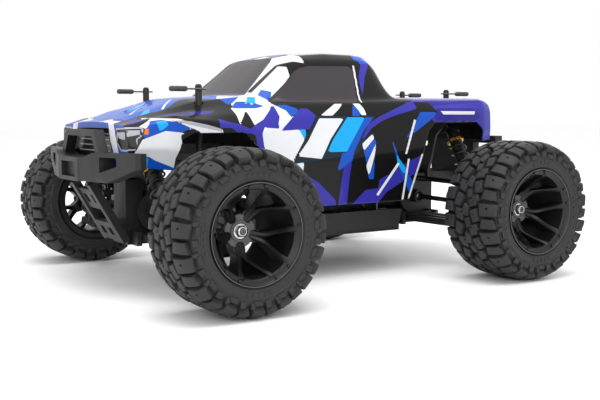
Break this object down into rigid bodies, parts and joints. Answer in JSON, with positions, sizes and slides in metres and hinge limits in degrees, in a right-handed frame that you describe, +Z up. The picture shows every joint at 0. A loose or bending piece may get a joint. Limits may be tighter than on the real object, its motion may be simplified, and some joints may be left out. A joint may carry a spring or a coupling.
{
  "type": "radio controlled monster truck",
  "caption": "Radio controlled pickup-bodied monster truck with sprung independent suspension, working steering, large lugged tyres and a clipped-on painted shell.",
  "frame": {"origin": "on the ground under the middle of the wheelbase, on the centre line", "axes": "+X toward the front bumper, +Y toward the left wheels, +Z up"},
  "size_m": [0.455, 0.402, 0.2154],
  "materials": {
    "painted_shell": "glossy polycarbonate painted inside in blue, white, indigo and black shards",
    "tyre": "soft black rubber",
    "rim": "satin black nylon",
    "spring_steel": "black painted spring wire",
    "shock_plastic": "black moulded shock body",
    "polished_steel": "polished steel rod",
    "link_steel": "plain steel with black rod ends",
    "battery_wrap": "dark shrink wrap",
    "electronics": "dark moulded case",
    "motor_can": "grey anodised can",
    "gear_nylon": "natural white nylon",
    "clip": "spring wire with a rubber pull tab",
    "moulded_plastic": "charcoal glass-filled nylon"
  },
  "bodies": {
    "chassis": {"chassis": "moulded_plastic", "gear_cases": "moulded_plastic", "shock_towers": "moulded_plastic", "body_posts": "moulded_plastic", "skid_plate": "moulded_plastic", "front_bumper": "moulded_plastic", "rear_bumper": "moulded_plastic", "body_shell": "painted_shell", "battery": "battery_wrap", "speed_controller": "electronics", "motor": "motor_can", "steering_servo": "electronics"},
    "spur": {"spur_gear": "gear_nylon"},
    "pinion": {"pinion": "link_steel"},
    "crank": {"steering_crank": "moulded_plastic"},
    "link": {"centre_link": "link_steel"},
    "tie_rod_fl": {"tie_rod_fl": "link_steel"},
    "tie_rod_fr": {"tie_rod_fr": "link_steel"},
    "arm_fl": {"lower_arm_fl": "moulded_plastic"},
    "camber_fl": {"camber_link_fl": "link_steel"},
    "shaft_fl": {"driveshaft_fl": "link_steel"},
    "caster_fl": {"caster_block_fl": "moulded_plastic"},
    "knuckle_fl": {"knuckle_fl": "moulded_plastic"},
    "shock_fl": {"shock_body_fl": "shock_plastic", "shock_spring_fl": "spring_steel"},
    "piston_fl": {"shock_shaft_fl": "polished_steel"},
    "wheel_fl": {"wheel_fl": "rim", "tyre_fl": "tyre"},
    "clip_fl": {"body_clip_fl": "clip"},
    "arm_fr": {"lower_arm_fr": "moulded_plastic"},
    "camber_fr": {"camber_link_fr": "link_steel"},
    "shaft_fr": {"driveshaft_fr": "link_steel"},
    "caster_fr": {"caster_block_fr": "moulded_plastic"},
    "knuckle_fr": {"knuckle_fr": "moulded_plastic"},
    "shock_fr": {"shock_body_fr": "shock_plastic", "shock_spring_fr": "spring_steel"},
    "piston_fr": {"shock_shaft_fr": "polished_steel"},
    "wheel_fr": {"wheel_fr": "rim", "tyre_fr": "tyre"},
    "clip_fr": {"body_clip_fr": "clip"},
    "arm_rl": {"lower_arm_rl": "moulded_plastic"},
    "camber_rl": {"camber_link_rl": "link_steel"},
    "shaft_rl": {"driveshaft_rl": "link_steel"},
    "hub_rl": {"rear_hub_rl": "moulded_plastic"},
    "shock_rl": {"shock_body_rl": "shock_plastic", "shock_spring_rl": "spring_steel"},
    "piston_rl": {"shock_shaft_rl": "polished_steel"},
    "wheel_rl": {"wheel_rl": "rim", "tyre_rl": "tyre"},
    "clip_rl": {"body_clip_rl": "clip"},
    "arm_rr": {"lower_arm_rr": "moulded_plastic"},
    "camber_rr": {"camber_link_rr": "link_steel"},
    "shaft_rr": {"driveshaft_rr": "link_steel"},
    "hub_rr": {"rear_hub_rr": "moulded_plastic"},
    "shock_rr": {"shock_body_rr": "shock_plastic", "shock_spring_rr": "spring_steel"},
    "piston_rr": {"shock_shaft_rr": "polished_steel"},
    "wheel_rr": {"wheel_rr": "rim", "tyre_rr": "tyre"},
    "clip_rr": {"body_clip_rr": "clip"}
  },
  "joints": [
    {"name": "suspension_fl", "type": "hinge", "parent": "chassis", "child": "arm_fl", "pos_m": [0.151, 0.024, 0.046], "axis": [1, 0, 0], "range_deg": [-10, 14], "stiffness_Nm_per_rad": 10, "springref_deg": -4.58},
    {"name": "camber_fl", "type": "hinge", "parent": "chassis", "child": "camber_fl", "pos_m": [0.14025, 0.024, 0.088], "axis": [1, 0, 0], "range_deg": [-11, 15]},
    {"name": "driveshaft_fl", "type": "hinge", "parent": "chassis", "child": "shaft_fl", "pos_m": [0.151, 0.024, 0.067], "axis": [1, 0, 0], "range_deg": [-11, 15]},
    {"name": "caster_fl", "type": "hinge", "parent": "arm_fl", "child": "caster_fl", "pos_m": [0.151, 0.14, 0.044], "axis": [1, 0, 0], "range_deg": [-15, 11]},
    {"name": "shock_swing_fl", "type": "hinge", "parent": "chassis", "child": "shock_fl", "pos_m": [0.1735, 0.048, 0.126], "axis": [1, 0, 0], "range_deg": [-4.51, 6.11]},
    {"name": "shock_travel_fl", "type": "slide", "parent": "shock_fl", "child": "piston_fl", "axis": [0, -0.5704, 0.8214], "range_m": [-0.01195, 0.01653], "deforming": ["shock_spring_fl"]},
    {"name": "steer_fl", "type": "hinge", "parent": "caster_fl", "child": "knuckle_fl", "pos_m": [0.151, 0.14, 0.065], "axis": [0, 0, 1], "range_deg": [-22, 22]},
    {"name": "wheel_spin_fl", "type": "hinge", "parent": "knuckle_fl", "child": "wheel_fl", "pos_m": [0.151, 0.168, 0.065], "axis": [0, 1, 0], "continuous": true},
    {"name": "clip_fl", "type": "slide", "parent": "chassis", "child": "clip_fl", "axis": [1, 0, 0], "range_m": [0, 0.014]},
    {"name": "suspension_fr", "type": "hinge", "parent": "chassis", "child": "arm_fr", "pos_m": [0.151, -0.024, 0.046], "axis": [-1, 0, 0], "range_deg": [-10, 14], "stiffness_Nm_per_rad": 10, "springref_deg": -4.58},
    {"name": "camber_fr", "type": "hinge", "parent": "chassis", "child": "camber_fr", "pos_m": [0.14025, -0.024, 0.088], "axis": [-1, 0, 0], "range_deg": [-11, 15]},
    {"name": "driveshaft_fr", "type": "hinge", "parent": "chassis", "child": "shaft_fr", "pos_m": [0.151, -0.024, 0.067], "axis": [-1, 0, 0], "range_deg": [-11, 15]},
    {"name": "caster_fr", "type": "hinge", "parent": "arm_fr", "child": "caster_fr", "pos_m": [0.151, -0.14, 0.044], "axis": [-1, 0, 0], "range_deg": [-15, 11]},
    {"name": "shock_swing_fr", "type": "hinge", "parent": "chassis", "child": "shock_fr", "pos_m": [0.1735, -0.048, 0.126], "axis": [-1, 0, 0], "range_deg": [-4.51, 6.11]},
    {"name": "shock_travel_fr", "type": "slide", "parent": "shock_fr", "child": "piston_fr", "axis": [0, 0.5704, 0.8214], "range_m": [-0.01195, 0.01653], "deforming": ["shock_spring_fr"]},
    {"name": "steer_fr", "type": "hinge", "parent": "caster_fr", "child": "knuckle_fr", "pos_m": [0.151, -0.14, 0.065], "axis": [0, 0, 1], "range_deg": [-23, 23]},
    {"name": "wheel_spin_fr", "type": "hinge", "parent": "knuckle_fr", "child": "wheel_fr", "pos_m": [0.151, -0.168, 0.065], "axis": [0, 1, 0], "continuous": true},
    {"name": "clip_fr", "type": "slide", "parent": "chassis", "child": "clip_fr", "axis": [1, 0, 0], "range_m": [0, 0.014]},
    {"name": "suspension_rl", "type": "hinge", "parent": "chassis", "child": "arm_rl", "pos_m": [-0.151, 0.024, 0.046], "axis": [1, 0, 0], "range_deg": [-10, 14], "stiffness_Nm_per_rad": 10, "springref_deg": -4.58},
    {"name": "camber_rl", "type": "hinge", "parent": "chassis", "child": "camber_rl", "pos_m": [-0.14025, 0.024, 0.088], "axis": [1, 0, 0], "range_deg": [-11, 15]},
    {"name": "driveshaft_rl", "type": "hinge", "parent": "chassis", "child": "shaft_rl", "pos_m": [-0.151, 0.024, 0.067], "axis": [1, 0, 0], "range_deg": [-11, 15]},
    {"name": "hub_rl", "type": "hinge", "parent": "arm_rl", "child": "hub_rl", "pos_m": [-0.151, 0.14, 0.044], "axis": [1, 0, 0], "range_deg": [-15, 11]},
    {"name": "shock_swing_rl", "type": "hinge", "parent": "chassis", "child": "shock_rl", "pos_m": [-0.1735, 0.048, 0.147], "axis": [1, 0, 0], "range_deg": [-3.04, 4.06]},
    {"name": "shock_travel_rl", "type": "slide", "parent": "shock_rl", "child": "piston_rl", "axis": [0, -0.4735, 0.8808], "range_m": [-0.01256, 0.01738], "deforming": ["shock_spring_rl"]},
    {"name": "wheel_spin_rl", "type": "hinge", "parent": "hub_rl", "child": "wheel_rl", "pos_m": [-0.151, 0.168, 0.065], "axis": [0, 1, 0], "continuous": true},
    {"name": "clip_rl", "type": "slide", "parent": "chassis", "child": "clip_rl", "axis": [-1, 0, 0], "range_m": [0, 0.014]},
    {"name": "suspension_rr", "type": "hinge", "parent": "chassis", "child": "arm_rr", "pos_m": [-0.151, -0.024, 0.046], "axis": [-1, 0, 0], "range_deg": [-10, 14], "stiffness_Nm_per_rad": 10, "springref_deg": -4.58},
    {"name": "camber_rr", "type": "hinge", "parent": "chassis", "child": "camber_rr", "pos_m": [-0.14025, -0.024, 0.088], "axis": [-1, 0, 0], "range_deg": [-11, 15]},
    {"name": "driveshaft_rr", "type": "hinge", "parent": "chassis", "child": "shaft_rr", "pos_m": [-0.151, -0.024, 0.067], "axis": [-1, 0, 0], "range_deg": [-11, 15]},
    {"name": "hub_rr", "type": "hinge", "parent": "arm_rr", "child": "hub_rr", "pos_m": [-0.151, -0.14, 0.044], "axis": [-1, 0, 0], "range_deg": [-15, 11]},
    {"name": "shock_swing_rr", "type": "hinge", "parent": "chassis", "child": "shock_rr", "pos_m": [-0.1735, -0.048, 0.147], "axis": [-1, 0, 0], "range_deg": [-3.04, 4.06]},
    {"name": "shock_travel_rr", "type": "slide", "parent": "shock_rr", "child": "piston_rr", "axis": [0, 0.4735, 0.8808], "range_m": [-0.01256, 0.01738], "deforming": ["shock_spring_rr"]},
    {"name": "wheel_spin_rr", "type": "hinge", "parent": "hub_rr", "child": "wheel_rr", "pos_m": [-0.151, -0.168, 0.065], "axis": [0, 1, 0], "continuous": true},
    {"name": "clip_rr", "type": "slide", "parent": "chassis", "child": "clip_rr", "axis": [-1, 0, 0], "range_m": [0, 0.014]},
    {"name": "steering_crank", "type": "hinge", "parent": "chassis", "child": "crank", "pos_m": [0.11246, 0, 0.0852], "axis": [0, 0, 1], "range_deg": [-23, 23]},
    {"name": "link_slide", "type": "slide", "parent": "chassis", "child": "link", "axis": [0, 1, 0], "range_m": [-0.0079, 0.0079]},
    {"name": "tie_rod_fl", "type": "hinge", "parent": "link", "child": "tie_rod_fl", "pos_m": [0.13173, 0.024, 0.082], "axis": [1, 0, 0], "range_deg": [-11, 15]},
    {"name": "tie_rod_fr", "type": "hinge", "parent": "link", "child": "tie_rod_fr", "pos_m": [0.13173, -0.024, 0.082], "axis": [-1, 0, 0], "range_deg": [-11, 15]},
    {"name": "spur_spin", "type": "hinge", "parent": "chassis", "child": "spur", "pos_m": [-0.085, 0, 0.062], "axis": [1, 0, 0], "continuous": true},
    {"name": "motor_spin", "type": "hinge", "parent": "chassis", "child": "pinion", "pos_m": [-0.085, -0.0233, 0.062], "axis": [1, 0, 0], "continuous": true}
  ],
  "couplings": [
    {"joint": "camber_fl", "follows": "suspension_fl", "ratio": 1},
    {"joint": "driveshaft_fl", "follows": "suspension_fl", "ratio": 1},
    {"joint": "caster_fl", "follows": "suspension_fl", "ratio": -1},
    {"joint": "shock_swing_fl", "follows": "suspension_fl", "ratio": 0.401},
    {"joint": "shock_travel_fl", "follows": "suspension_fl", "m_per_rad": 0.0656},
    {"joint": "camber_fr", "follows": "suspension_fr", "ratio": 1},
    {"joint": "driveshaft_fr", "follows": "suspension_fr", "ratio": 1},
    {"joint": "caster_fr", "follows": "suspension_fr", "ratio": -1},
    {"joint": "shock_swing_fr", "follows": "suspension_fr", "ratio": 0.401},
    {"joint": "shock_travel_fr", "follows": "suspension_fr", "m_per_rad": 0.0656},
    {"joint": "steer_fr", "follows": "steer_fl", "ratio": 1},
    {"joint": "camber_rl", "follows": "suspension_rl", "ratio": 1},
    {"joint": "driveshaft_rl", "follows": "suspension_rl", "ratio": 1},
    {"joint": "hub_rl", "follows": "suspension_rl", "ratio": -1},
    {"joint": "shock_swing_rl", "follows": "suspension_rl", "ratio": 0.254},
    {"joint": "shock_travel_rl", "follows": "suspension_rl", "m_per_rad": 0.0691},
    {"joint": "camber_rr", "follows": "suspension_rr", "ratio": 1},
    {"joint": "driveshaft_rr", "follows": "suspension_rr", "ratio": 1},
    {"joint": "hub_rr", "follows": "suspension_rr", "ratio": -1},
    {"joint": "shock_swing_rr", "follows": "suspension_rr", "ratio": 0.254},
    {"joint": "shock_travel_rr", "follows": "suspension_rr", "m_per_rad": 0.0691},
    {"joint": "steering_crank", "follows": "steer_fl", "ratio": -1},
    {"joint": "link_slide", "follows": "steer_fl", "m_per_rad": -0.019512},
    {"joint": "tie_rod_fl", "follows": "suspension_fl", "ratio": 1},
    {"joint": "tie_rod_fr", "follows": "suspension_fr", "ratio": 1},
    {"joint": "motor_spin", "follows": "spur_spin", "ratio": -3.1429}
  ]
}
